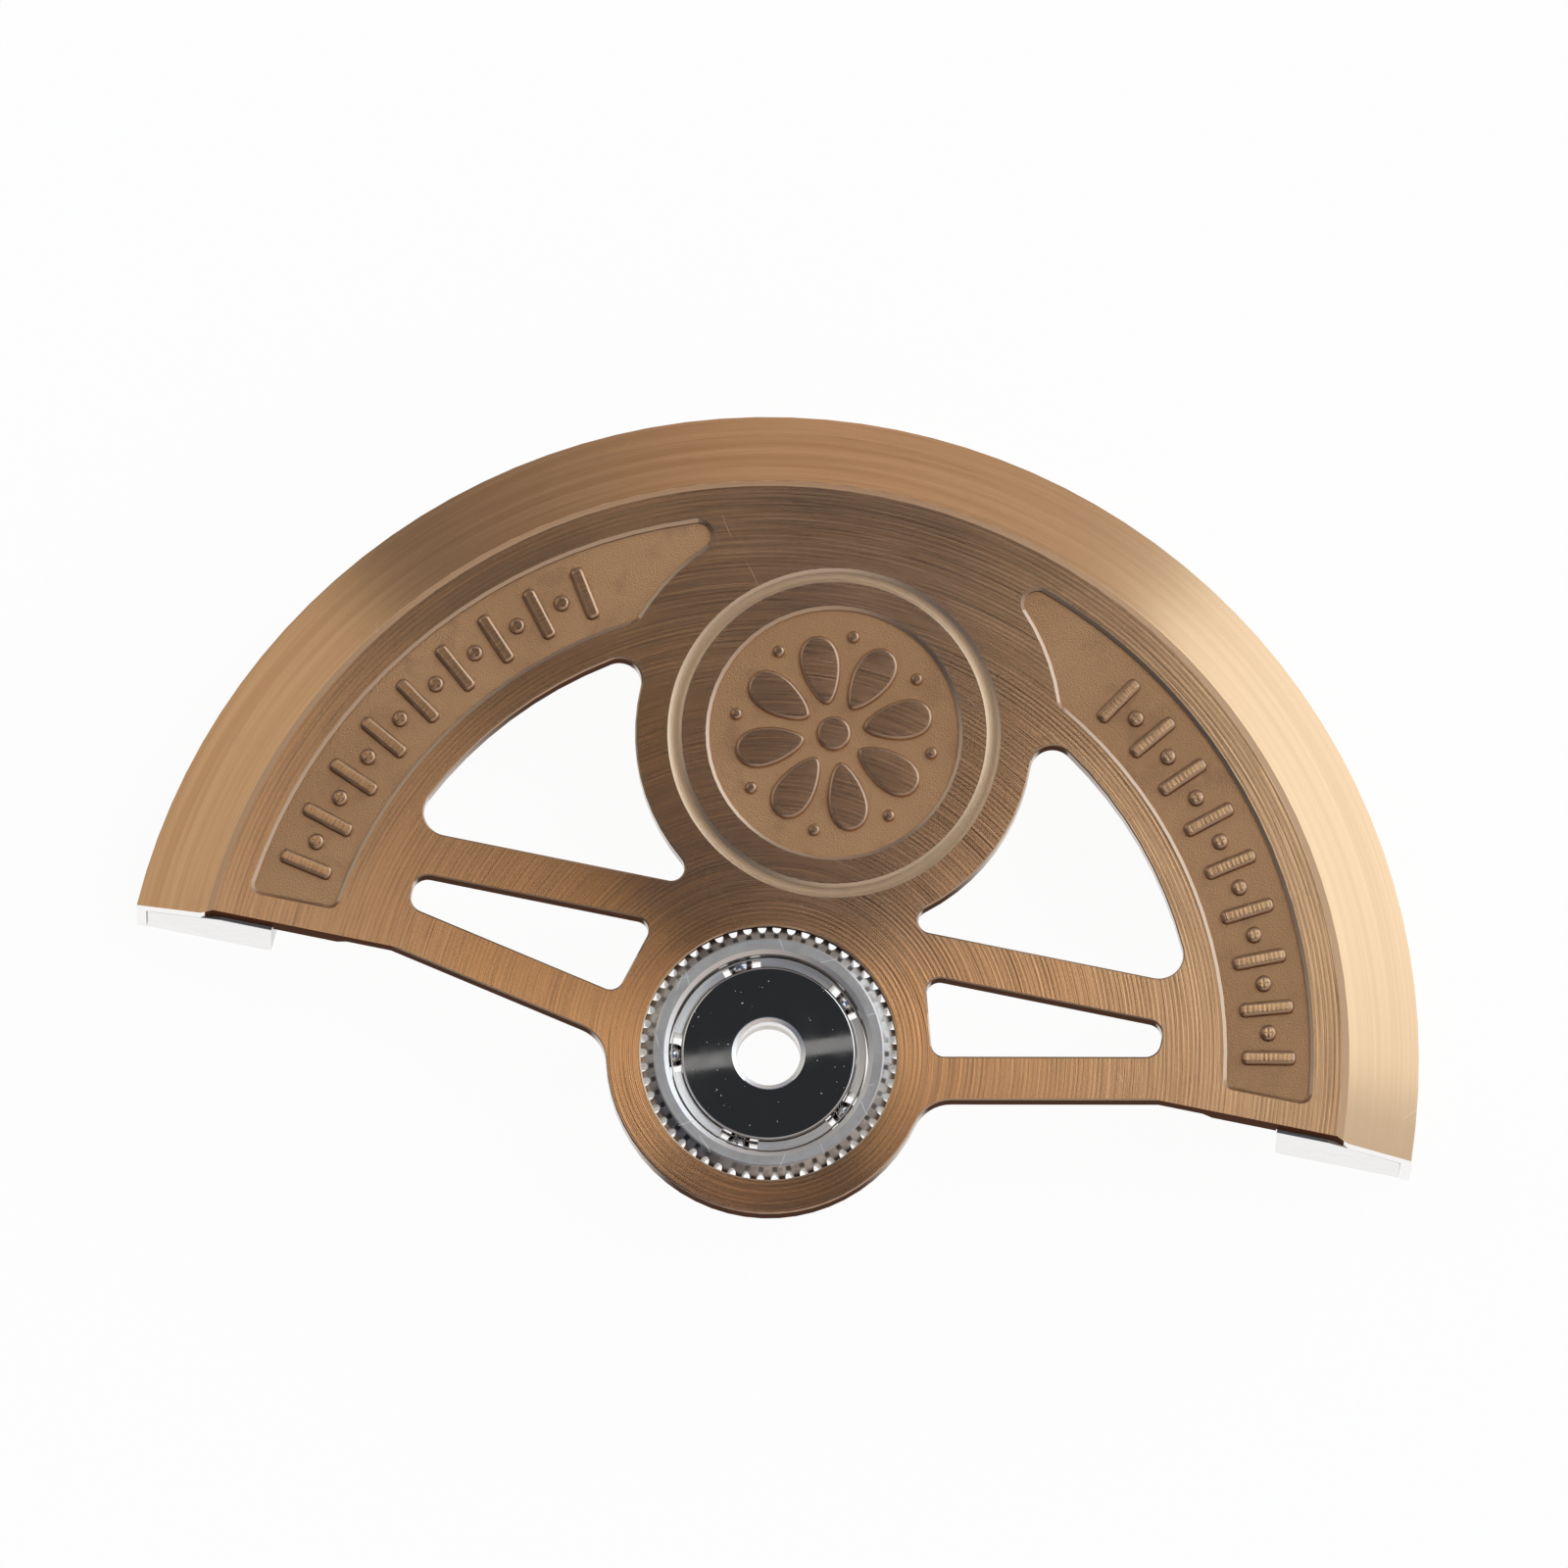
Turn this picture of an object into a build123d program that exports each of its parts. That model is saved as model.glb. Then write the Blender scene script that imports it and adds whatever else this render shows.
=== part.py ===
from build123d import *
from math import cos, radians, sqrt, tan
import os

# Winding rotor of a self-winding wrist watch, on the ball bearing that carries it.
# Millimetres, +Z up towards the engraved face. The origin lies on the bearing's axis, on the seat
# face under the inner race. +Y is the rotor's axis of symmetry, from the bearing to mid rim.

# Bearing
bearing_height = 1.10
bore_r = 0.65
bore_chamfer = 0.08
inner_race_r = 1.78
seat_edge = 0.05
ball_r = 0.25
ball_count = 5
ball_turn_deg = 28.4
ball_play = 0.012
pitch_margin = 0.16
lip_margin = 0.05
lip_chamfer = 0.09
race_chamfer = 0.04
race_under = 0.07
race_over = 0.10

# Cage
cage_play = 0.03
cage_lip_play = 0.05
cage_under = 0.30
cage_over = 0.42
cage_edge = 0.03
pocket_half_width = 0.33
pocket_crown_gap = 0.03
pocket_strip = 0.07

# Gear on the outer race
tooth_count = 54
race_width = 0.61
gap_depth = 0.125
gap_low_depth = 0.25
tooth_bevel_run = 0.27
tooth_bevel_drop = 0.18
tooth_edge = 0.05
gap_root_width = 0.12
gap_tip_width = 0.18
gap_turn_deg = 4.4

# Plate, turned
face_height = 1.15
web_thickness = 0.65
outer_r = 13.20
band_width = 1.56
band_step_run = 0.14
band_step_drop = 0.20
band_drop = 0.93
rim_depth = 3.60
lip_width = 0.20
segment_width = 2.80
skin_thickness = 0.70
shoulder_thickness = 0.93
shoulder_blend = 0.20
hub_width = 0.70
hub_land = 0.22
hub_relief = 0.25

# Sunk fields on the face
pocket_margin = 0.58
pocket_width = 1.83
pocket_end_margin = 0.50
pocket_fillet = 0.16
pocket_tip_fillet = 0.27
sunk_depth = 0.12
sunk_bevel = 0.07
medallion_place_share = 0.5076
medallion_share = 0.1977
groove_margin = 0.49
groove_width = 0.28
bulge_margin = 0.66
pocket_side_over = 0.21

# Plate, milled
chord_y = 0.625
rim_end_run = 0.24
rim_end_step = 0.07
shoulder_margin = 0.35
window_margin = 0.21
strut_top_y = 3.065
slot_top_y = 2.20
strut_width = 0.89
strut_tilt_deg = 11.4
strut_bend_margin = 0.73
slot_end_deg = 16.5
slot_tip_margin = 0.92
hub_fillet = 0.80
window_top_fillet = 0.45
window_heel_fillet = 0.50
wedge_fillet = 0.27
slot_tip_fillet = 0.31
slot_fillet = 0.27
edge_break = 0.03

# Heavy segment under the rim
segment_bottom_gap = 0.10
segment_edge = 0.12
braze_gap = 0.02

overrun = 1.0

# Heights and radii that several pieces share
ball_height = bearing_height / 2
pitch_r = inner_race_r + pitch_margin
lip_r = pitch_r + lip_margin
gear_tip_r = lip_r + race_width
gap_root_r = gear_tip_r - gap_depth
gap_low_root_r = gear_tip_r - gap_low_depth
hub_r = gear_tip_r + hub_width
band_r = outer_r - band_width
pocket_outer_r = band_r - pocket_margin
pocket_inner_r = pocket_outer_r - pocket_width
shoulder_r = pocket_inner_r - shoulder_margin
window_r = shoulder_r - window_margin
strut_bend_x = window_r - strut_bend_margin
slot_tip_x = window_r - slot_tip_margin
pocket_end_y = chord_y + pocket_end_margin
medallion_y = medallion_place_share * outer_r
medallion_r = medallion_share * outer_r
pocket_side_r = pocket_outer_r + pocket_side_over - medallion_y
groove_inner_r = medallion_r + groove_margin
groove_outer_r = groove_inner_r + groove_width
bulge_r = groove_outer_r + bulge_margin
lip_inner_r = outer_r - lip_width
segment_inner_r = outer_r - segment_width
rim_bottom = face_height - rim_depth
web_bottom = face_height - web_thickness
shoulder_bottom = face_height - shoulder_thickness
floor_height = face_height - skin_thickness
band_start_r = band_r + band_step_run
band_slope = (band_drop - band_step_drop) / (outer_r - band_start_r)
floor_bend_r = band_r - band_step_run
floor_outer_height = floor_height - band_slope * (lip_inner_r - floor_bend_r)
segment_outer_r = lip_inner_r - braze_gap
segment_bottom = rim_bottom + segment_bottom_gap
race_bottom = race_under
race_top = bearing_height + race_over
raceway_r = ball_r + ball_play
raceway_inner_r = pitch_r - raceway_r
raceway_outer_r = pitch_r + raceway_r


def raceway_height(wall_r):
    """Height over the ball's centre at which the raceway's 45 degree cone meets a wall of this radius."""
    return raceway_r * sqrt(2) - abs(wall_r - pitch_r)


def strut_edge_y(x, offset):
    """Height in plan of the sloping strut's edge at x, this far inside its outer edge."""
    tilt = radians(strut_tilt_deg)
    return chord_y + (x - strut_bend_x) * tan(tilt) + offset / cos(tilt)


def inside_the_band(edge):
    """True for an edge of the face that doesn't touch the sloping rim."""
    reach = max(Vector(*corner).X ** 2 + Vector(*corner).Y ** 2 for corner in edge.vertices())
    return reach < (band_r - edge_break) ** 2


# The turned blank: a disc with a sloping rim, a lip that runs down outside, and a channel under the
# rim for the heavy segment. The teeth of the outer race are pressed into the short land of its hole.
with BuildPart() as rotor_plate:
    with BuildSketch(Plane.XZ) as turned_section:
        with BuildLine():
            Polyline(
                (gear_tip_r + hub_relief, web_bottom),
                (gear_tip_r, face_height - hub_land),
                (gear_tip_r, face_height),
                (band_r, face_height),
                (band_start_r, face_height - band_step_drop),
                (outer_r, face_height - band_drop),
                (outer_r, rim_bottom),
                (lip_inner_r, rim_bottom),
                (lip_inner_r, floor_outer_height),
                (floor_bend_r, floor_height),
                (segment_inner_r, floor_height),
                (segment_inner_r, shoulder_bottom),
                (shoulder_r + shoulder_blend, shoulder_bottom),
                (shoulder_r, web_bottom),
                close=True,
            )
        make_face()
    revolve(axis=Axis.Z)

    # The outline in plan, on the side of +X: rim end, straight edge, sloping strut
    with BuildSketch(Plane.XY.offset(rim_bottom - overrun)) as plan:
        with BuildLine():
            Polyline(
                (0, strut_edge_y(0, 0)),
                (strut_bend_x, chord_y),
                (band_r, chord_y),
                (band_r + rim_end_run, chord_y - rim_end_step),
                (outer_r + overrun, chord_y - rim_end_step),
                (outer_r + overrun, outer_r + overrun),
                (0, outer_r + overrun),
                close=True,
            )
        make_face()
        mirror(about=Plane.YZ)
        Circle(hub_r)
        hub_corners = plan.vertices().sort_by(lambda corner: abs(Vector(*corner).length - hub_r))
        fillet(plan.vertices().filter_by(lambda corner: corner in hub_corners[0:2]), hub_fillet)

        # Windows: outside the medallion's bulge, above the level strut
        with BuildSketch(mode=Mode.PRIVATE) as windows:
            Circle(window_r)
            with Locations((0, medallion_y)):
                Circle(bulge_r, mode=Mode.SUBTRACT)
            with Locations((0, strut_top_y)):
                Rectangle(2 * window_r, window_r, align=(Align.CENTER, Align.MIN), mode=Mode.INTERSECT)
            low_corners = windows.vertices().group_by(Axis.Y)[0].sort_by(lambda corner: abs(corner.X))
            fillet(low_corners[0:2], wedge_fillet)
            fillet(windows.vertices().group_by(Axis.Y)[-1], window_top_fillet)
            heel_corners = windows.vertices().group_by(Axis.Y)[0].sort_by(lambda corner: abs(corner.X))
            fillet(heel_corners[2:4], window_heel_fillet)
        add(windows.sketch, mode=Mode.SUBTRACT)

        # Slots: between the level strut and the sloping one, with a straight end that touches the hub
        with BuildSketch(mode=Mode.PRIVATE) as slots:
            with BuildLine():
                Polyline(
                    (0, slot_top_y),
                    (slot_tip_x, slot_top_y),
                    (slot_tip_x, strut_edge_y(slot_tip_x, strut_width)),
                    (0, strut_edge_y(0, strut_width)),
                    close=True,
                )
            make_face()
            with Locations(Location((0, 0, 0), (0, 0, slot_end_deg)) * Location((hub_r, 0, 0))):
                Rectangle(outer_r, outer_r, align=(Align.MAX, Align.CENTER), mode=Mode.SUBTRACT)
            fillet(slots.vertices().sort_by(Axis.X)[-2:], slot_tip_fillet)
            fillet(slots.vertices().sort_by(Axis.X)[:2], slot_fillet)
            mirror(about=Plane.YZ)
        add(slots.sketch, mode=Mode.SUBTRACT)
    extrude(amount=rim_depth + 2 * overrun, mode=Mode.INTERSECT)

    # The milled edges of the face are broken, round the windows, the slots, the hub and the struts
    face_edges = rotor_plate.faces().sort_by(Axis.Z)[-1].edges()
    chamfer(face_edges.filter_by(inside_the_band), edge_break)

    # The sunk fields: one on each side for an inscription, and the round one
    with BuildSketch(Plane.XY.offset(face_height)) as sunk_fields:
        Circle(pocket_outer_r - sunk_bevel)
        Circle(pocket_inner_r + sunk_bevel, mode=Mode.SUBTRACT)
        with Locations((0, pocket_end_y + sunk_bevel)):
            Rectangle(outer_r, outer_r, align=(Align.MIN, Align.MIN), mode=Mode.INTERSECT)
        with Locations((0, medallion_y)):
            Circle(pocket_side_r + sunk_bevel, mode=Mode.SUBTRACT)
        fillet(sunk_fields.vertices().sort_by(Axis.Y)[-1], pocket_tip_fillet)
        fillet(sunk_fields.vertices().sort_by(Axis.Y)[:3], pocket_fillet)
        mirror(about=Plane.YZ)
        with Locations((0, medallion_y)):
            Circle(medallion_r - sunk_bevel)
    extrude(amount=-sunk_depth, mode=Mode.SUBTRACT)
    chamfer(rotor_plate.edges(Select.LAST).group_by(Axis.Z)[-1], sunk_bevel)

    # The groove round the medallion, turned about its axis
    with BuildSketch(Plane.XZ.offset(-medallion_y)):
        with BuildLine():
            Polyline(
                (groove_inner_r, face_height),
                (groove_inner_r + sunk_bevel, face_height - sunk_depth),
                (groove_outer_r - sunk_bevel, face_height - sunk_depth),
                (groove_outer_r, face_height),
                close=True,
            )
        make_face()
    revolve(axis=Axis((0, medallion_y, 0), (0, 0, 1)), mode=Mode.SUBTRACT)
rotor_plate.part.label = "rotor_plate"

# The dense segment fills the channel under the rim, and its ends are flush with the plate's.
with BuildPart() as heavy_segment:
    with BuildSketch(Plane.XZ):
        with BuildLine():
            Polyline(
                (segment_inner_r + braze_gap, segment_bottom + segment_edge),
                (segment_inner_r + braze_gap, floor_height),
                (floor_bend_r - braze_gap, floor_height),
                (segment_outer_r, floor_outer_height - braze_gap),
                (segment_outer_r, segment_bottom),
                (segment_inner_r + braze_gap + segment_edge, segment_bottom),
                close=True,
            )
        make_face()
    revolve(axis=Axis.Z)
    with BuildSketch(Plane.XY.offset(rim_bottom)):
        with Locations((0, chord_y - rim_end_step)):
            Rectangle(2 * (outer_r + overrun), outer_r + overrun, align=(Align.CENTER, Align.MIN))
    extrude(amount=rim_depth, mode=Mode.INTERSECT)
heavy_segment.part.label = "heavy_segment"

# The gaps between the 54 teeth, whose floor leans inwards from the top to the bottom
with BuildPart() as tooth_gaps:
    with BuildSketch(Plane.XZ):
        with BuildLine():
            Polyline(
                (gap_low_root_r, race_bottom),
                (gap_root_r, race_top),
                (gear_tip_r + overrun, race_top),
                (gear_tip_r + overrun, race_bottom),
                close=True,
            )
        make_face()
    revolve(axis=Axis.Z)
    with BuildSketch(Plane.XY.offset(race_bottom)):
        with PolarLocations(0, tooth_count, start_angle=gap_turn_deg):
            with BuildLine():
                Polyline(
                    (gap_low_root_r - tooth_edge, gap_root_width / 2),
                    (gap_low_root_r - tooth_edge, -gap_root_width / 2),
                    (gap_root_r, -gap_root_width / 2),
                    (gear_tip_r, -gap_tip_width / 2),
                    (gear_tip_r + tooth_edge, -gap_tip_width / 2),
                    (gear_tip_r + tooth_edge, gap_tip_width / 2),
                    (gear_tip_r, gap_tip_width / 2),
                    (gap_root_r, gap_root_width / 2),
                    close=True,
                )
            make_face()
    extrude(amount=race_top - race_bottom, mode=Mode.INTERSECT)

# Outer race: two cones inside on which the balls run, and straight teeth with a long bevel outside
with BuildPart() as outer_race_gear:
    with BuildSketch(Plane.XZ):
        with BuildLine():
            Polyline(
                (raceway_outer_r, ball_height + raceway_height(raceway_outer_r)),
                (lip_r, ball_height + raceway_height(lip_r)),
                (lip_r, race_top - lip_chamfer),
                (lip_r + lip_chamfer, race_top),
                (gear_tip_r - tooth_bevel_run, race_top),
                (gear_tip_r, race_top - tooth_bevel_drop),
                (gear_tip_r, race_bottom),
                (lip_r, race_bottom),
                (lip_r, ball_height - raceway_height(lip_r)),
                (raceway_outer_r, ball_height - raceway_height(raceway_outer_r)),
                close=True,
            )
        make_face()
    revolve(axis=Axis.Z)
    add(tooth_gaps.part, mode=Mode.SUBTRACT)
outer_race_gear.part.label = "outer_race_gear"

# Inner race, in two halves that meet at the balls' level. The lower one carries the seat face, and
# the upper one has the polished face and the chamfered screw bore.
with BuildPart() as inner_race_lower:
    with BuildSketch(Plane.XZ):
        with BuildLine():
            Polyline(
                (raceway_inner_r, ball_height),
                (bore_r, ball_height),
                (bore_r, 0),
                (inner_race_r - seat_edge, 0),
                (inner_race_r, seat_edge),
                (inner_race_r, ball_height - raceway_height(inner_race_r)),
                (raceway_inner_r, ball_height - raceway_height(raceway_inner_r)),
                close=True,
            )
        make_face()
    revolve(axis=Axis.Z)
inner_race_lower.part.label = "inner_race_lower"

with BuildPart() as inner_race_upper:
    with BuildSketch(Plane.XZ):
        with BuildLine():
            Polyline(
                (raceway_inner_r, ball_height),
                (bore_r, ball_height),
                (bore_r, bearing_height - bore_chamfer),
                (bore_r + bore_chamfer, bearing_height),
                (inner_race_r - race_chamfer, bearing_height),
                (inner_race_r, bearing_height - race_chamfer),
                (inner_race_r, ball_height + raceway_height(inner_race_r)),
                (raceway_inner_r, ball_height + raceway_height(raceway_inner_r)),
                close=True,
            )
        make_face()
    revolve(axis=Axis.Z)
inner_race_upper.part.label = "inner_race_upper"

# Crown cage: a ring between the races with five pockets, open below and to the inside. The balls
# keep it in its place.
cage_inner_r = inner_race_r + cage_play
cage_outer_r = lip_r - cage_lip_play
cage_bottom = ball_height - cage_under
cage_top = ball_height + cage_over
with BuildPart() as ball_cage:
    with BuildSketch(Plane.XZ):
        with BuildLine():
            Polyline(
                (cage_inner_r, cage_bottom),
                (cage_inner_r, cage_top - cage_edge),
                (cage_inner_r + cage_edge, cage_top),
                (cage_outer_r - cage_edge, cage_top),
                (cage_outer_r, cage_top - cage_edge),
                (cage_outer_r, cage_bottom),
                close=True,
            )
        make_face()
    revolve(axis=Axis.Z)
    pocket_top = ball_height + ball_r + pocket_crown_gap
    with PolarLocations(0, ball_count, start_angle=90 + ball_turn_deg):
        with Locations((inner_race_r, 0, cage_bottom)):
            Box(
                2 * pitch_r - 2 * inner_race_r + ball_r,
                2 * pocket_half_width,
                pocket_top - cage_bottom,
                align=(Align.MIN, Align.CENTER, Align.MIN),
                mode=Mode.SUBTRACT,
            )
    with BuildSketch(Plane.XY.offset(cage_top)):
        with PolarLocations(0, ball_count, start_angle=90 + ball_turn_deg):
            with Locations((inner_race_r, 0)):
                Rectangle(
                    cage_outer_r - inner_race_r,
                    2 * pocket_half_width,
                    align=(Align.MIN, Align.CENTER),
                )
        Circle(cage_outer_r - pocket_strip, mode=Mode.INTERSECT)
    extrude(amount=pocket_top - cage_top, mode=Mode.SUBTRACT)
ball_cage.part.label = "ball_cage"

balls = []
with PolarLocations(pitch_r, ball_count, start_angle=90 + ball_turn_deg) as ball_places:
    places = list(ball_places.locations)
for number, place in enumerate(places, start=1):
    with BuildPart() as ball:
        with Locations(place.position + Vector(0, 0, ball_height)):
            Sphere(ball_r)
    ball.part.label = f"ball_{number}"
    balls.append(ball)

pieces = [rotor_plate, heavy_segment, outer_race_gear, inner_race_lower, inner_race_upper, ball_cage]
os.makedirs("parts", exist_ok=True)
for piece in pieces + balls:
    export_step(piece.part, f"parts/{piece.part.label}.step")
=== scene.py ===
import math

import bpy
import numpy as np
from mathutils import Matrix, Vector


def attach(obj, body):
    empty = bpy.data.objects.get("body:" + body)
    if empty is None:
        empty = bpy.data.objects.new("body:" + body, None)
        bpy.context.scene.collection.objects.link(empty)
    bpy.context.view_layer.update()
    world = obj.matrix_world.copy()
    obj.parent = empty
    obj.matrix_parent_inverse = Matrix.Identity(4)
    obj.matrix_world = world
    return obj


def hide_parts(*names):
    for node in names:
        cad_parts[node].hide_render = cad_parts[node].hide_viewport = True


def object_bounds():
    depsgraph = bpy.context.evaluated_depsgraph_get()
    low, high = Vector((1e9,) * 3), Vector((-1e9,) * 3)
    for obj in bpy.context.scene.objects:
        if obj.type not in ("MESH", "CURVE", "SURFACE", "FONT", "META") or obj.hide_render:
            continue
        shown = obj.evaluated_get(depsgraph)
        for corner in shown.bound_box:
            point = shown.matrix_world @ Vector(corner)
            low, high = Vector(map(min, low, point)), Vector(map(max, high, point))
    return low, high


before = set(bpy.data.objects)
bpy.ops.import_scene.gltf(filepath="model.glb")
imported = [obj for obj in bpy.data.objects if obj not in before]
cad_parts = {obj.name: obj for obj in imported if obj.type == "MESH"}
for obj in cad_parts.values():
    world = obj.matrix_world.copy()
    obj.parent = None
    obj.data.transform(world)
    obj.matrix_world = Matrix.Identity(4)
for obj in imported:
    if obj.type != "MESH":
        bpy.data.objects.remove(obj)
cad_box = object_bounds()


# Rotor plate
# The turned and pierced carrier of the rotor, of brass with a bronze-coloured plating. Its face is
# turned in fine rings about the bearing, the fields are blasted, and the sloping rim is brushed.

class Wire:
    """One output of a node. Sums and products of wires add Math nodes, and a comparison gives 1 or 0."""

    def __init__(self, nodes, socket):
        self.nodes, self.socket = nodes, socket

    def math(self, operation, *values):
        return self.nodes.add("Math", {"operation": operation}, dict(enumerate((self,) + values)))

    def __add__(self, other):
        return self.math("ADD", other)

    def __sub__(self, other):
        return self.math("SUBTRACT", other)

    def __rsub__(self, other):
        return (self * -1.0) + other

    def __mul__(self, other):
        return self.math("MULTIPLY", other)

    def __truediv__(self, other):
        return self.math("DIVIDE", other)

    def __pow__(self, other):
        return self.math("POWER", other)

    def __gt__(self, other):
        return self.math("GREATER_THAN", other)

    def __lt__(self, other):
        return self.math("LESS_THAN", other)

    __radd__ = __add__

    def step(self, low, high):
        """0 below low, 1 above high, and a smooth rise between them."""
        return self.nodes.add("MapRange", {"interpolation_type": "SMOOTHSTEP"},
                              {"Value": self, "From Min": low, "From Max": high})


class Nodes:
    """The node tree of a finish or of the studio's surroundings."""

    def __init__(self, tree):
        self.tree = tree
        tree.nodes.clear()

    def add(self, kind, settings=None, values=None, out=0):
        """Adds a node with these settings and these values or wires on its inputs, and returns one output."""
        node = self.tree.nodes.new("ShaderNode" + kind)
        for name, value in (settings or {}).items():
            setattr(node, name, value)
        for name, value in (values or {}).items():
            if isinstance(value, Wire):
                self.tree.links.new(value.socket, node.inputs[name])
            else:
                node.inputs[name].default_value = value
        return Wire(self, node.outputs[out]) if len(node.outputs) else None

    def split(self, wire):
        """The three numbers of a vector."""
        x = self.add("SeparateXYZ", values={0: wire})
        return x, Wire(self, x.socket.node.outputs[1]), Wire(self, x.socket.node.outputs[2])

    def join(self, x, y, z):
        return self.add("CombineXYZ", values={0: x, 1: y, 2: z})

    def blend(self, share, first, second, kind="RGBA"):
        """First where share is 0 and second where it is 1, for colours or for vectors."""
        slots, out = {"RGBA": ((6, 7), 2), "VECTOR": ((4, 5), 1)}[kind]
        return self.add("Mix", {"data_type": kind}, {0: share, slots[0]: first, slots[1]: second}, out)

    def noise(self, vector, scale, detail=2.0, rough=0.5):
        values = {"Vector": vector, "Scale": scale, "Detail": detail, "Roughness": rough}
        return self.add("TexNoise", values=values)


class Finish(Nodes):
    """A material on Object coordinates, with the distance from the bearing's axis as radius."""

    def __init__(self, name):
        self.material = bpy.data.materials.new(name)
        self.material.use_nodes = True
        super().__init__(self.material.node_tree)
        self.place = self.add("TexCoord", out=3)
        self.x, self.y, self.z = self.split(self.place)
        self.radius = (self.x * self.x + self.y * self.y) ** 0.5

    def facing(self):
        """The surface's own normal, in the object's directions."""
        return self.add("TexCoord", out=1)

    def turned_normal(self, centre_y=0.0, height=None):
        """The exact normal of a surface turned about an upright axis at (0, centre_y), and before it
        1 on the facets that are turned about that axis and 0 on the others.

        Its height part is the one given or else the facet's own, and its level part points straight
        away from the axis or towards it."""
        nx, ny, nz = self.split(self.facing())
        height = nz if height is None else height
        y = self.y - centre_y
        reach = (self.x * self.x + y * y) ** 0.5 + 1e-9
        along = (nx * self.x + ny * y) / reach
        level = (1.0 - nz * nz).math("MAXIMUM", 0.0) ** 0.5
        side = along.math("SIGN") * (1.0 - height * height).math("MAXIMUM", 0.0) ** 0.5 / reach
        exact = self.join(self.x * side, y * side, height)
        ways = {"vector_type": "NORMAL", "convert_from": "OBJECT", "convert_to": "WORLD"}
        normal = self.add("VectorTransform", ways, {0: exact})
        share = (along.math("ABSOLUTE") - level * 0.988) > -0.0003
        return share, normal

    def scratches(self, families, wander, rarity):
        """1 on thin scratches, which are straight lines but for a slight wander, and broken by a noise.

        families has the direction in degrees and the spacing of each set of lines."""
        found = 0.0
        for degrees, spacing in families:
            a = math.radians(degrees)
            across = (self.x * math.cos(a) + self.y * math.sin(a) + wander) / spacing
            line = 1.0 - (across.math("FRACT") - 0.5).math("ABSOLUTE").step(4e-6 / spacing, 14e-6 / spacing)
            broken = self.noise(self.join(self.x + degrees, self.y, self.z), 900.0, 1.0).step(rarity, rarity + 0.05)
            found = line * broken + found
        return found

    def drawn_out(self, across, along, detail=2.0, rough=0.5):
        """A noise drawn out along the turned rings. The two numbers are how often it changes per metre."""
        return self.noise(self.join(self.radius * across, self.x * along, self.y * along), 1.0, detail, rough)

    def relief(self, height, **normal):
        """The surface's own normal, or the one given, under a fine relief whose height is in metres."""
        return self.add("Bump", values={"Strength": 1.0, "Distance": 1.0, "Height": height} | normal)

    def metal(self, **values):
        """A Principled shader of bare metal with these values, whose names have _ for a space."""
        values = {name.replace("_", " "): value for name, value in values.items()}
        return self.add("BsdfPrincipled", values={"Metallic": 1.0} | values)

    def show(self, shader):
        """Puts the shader on the output."""
        self.add("OutputMaterial", values={0: shader})


def dress(piece, material):
    """Gives a piece, or a CAD node, this one material."""
    piece.data.materials.clear()
    piece.data.materials.append(material)


face_height, sunk_floor = 1.15e-3, 1.03e-3
medallion_y, medallion_reach = 6.70e-3, 4.70e-3
rosette_reach, ring_groove_r, ring_groove_half, groove_reach = 2.40e-3, 3.24e-3, 0.145e-3, 3.50e-3
step_r, band_r, lip_r, skin_r = 11.55e-3, 11.775e-3, 11.80e-3, 13.14e-3
scale_r, scale_half = 10.145e-3, 0.62e-3
line_spacing = 0.094e-3
edge_height_part = 0.84
strut_way = math.radians(11.5)

gilt = Finish("gilt_plate")
nx, ny, nz = gilt.split(gilt.facing())
level = nz.step(0.9, 0.98)
upright = 1.0 - nz.math("ABSOLUTE").step(0.1, 0.5)
on_band = gilt.radius.step(band_r - 0.01e-3, band_r + 0.01e-3)
on_floor = level * (1.0 - gilt.z.step(1.04e-3, 1.08e-3)) * (1.0 - on_band)
lip_end = (ny < -0.7) * (gilt.radius > lip_r)
off_centre = gilt.y - medallion_y
from_medallion = (gilt.x * gilt.x + off_centre * off_centre) ** 0.5
across_groove = (from_medallion - ring_groove_r) / ring_groove_half
hollow = (across_groove * across_groove).math("MINIMUM", 1.0)
in_groove = (1.0 - hollow) > 0.0

# Noises: the turned rings, some too fine to see, then brushing, blasting, stains and scratches
fine_rings = gilt.drawn_out(100000.0, 200.0, 1.0)
rings = gilt.drawn_out(19000.0, 28.0, 1.0)
radius_only = gilt.join(gilt.radius, 0.0, 0.0)
wobble = gilt.noise(gilt.place, 160.0, 1.0) * 5.0 + gilt.noise(radius_only, 900.0, 1.0) * 8.0
patchy = gilt.drawn_out(3000.0, 200.0, 1.0).step(0.3, 0.7) * 0.7 + 0.45
turning = (gilt.radius * (2 * math.pi / line_spacing) + wobble).math("SINE")
streaks = gilt.drawn_out(7000.0, 130.0, 3.0, 0.6)
brushing = gilt.drawn_out(26000.0, 500.0, 2.0, 0.6)
band_lines = gilt.drawn_out(16000.0, 60.0, 2.0, 0.6)
blasting = gilt.noise(gilt.place, 28000.0, 3.0, 0.6)
tone = gilt.noise(gilt.place, 260.0, 3.0)
stains = gilt.noise(gilt.place, 900.0, 4.0, 0.65)
slight_bend = gilt.noise(gilt.place, 120.0, 1.0) * 0.006
wear = gilt.scratches(((63.0, 0.0047), (128.0, 0.0061), (17.0, 0.0071)), slight_bend, 0.62)

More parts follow.
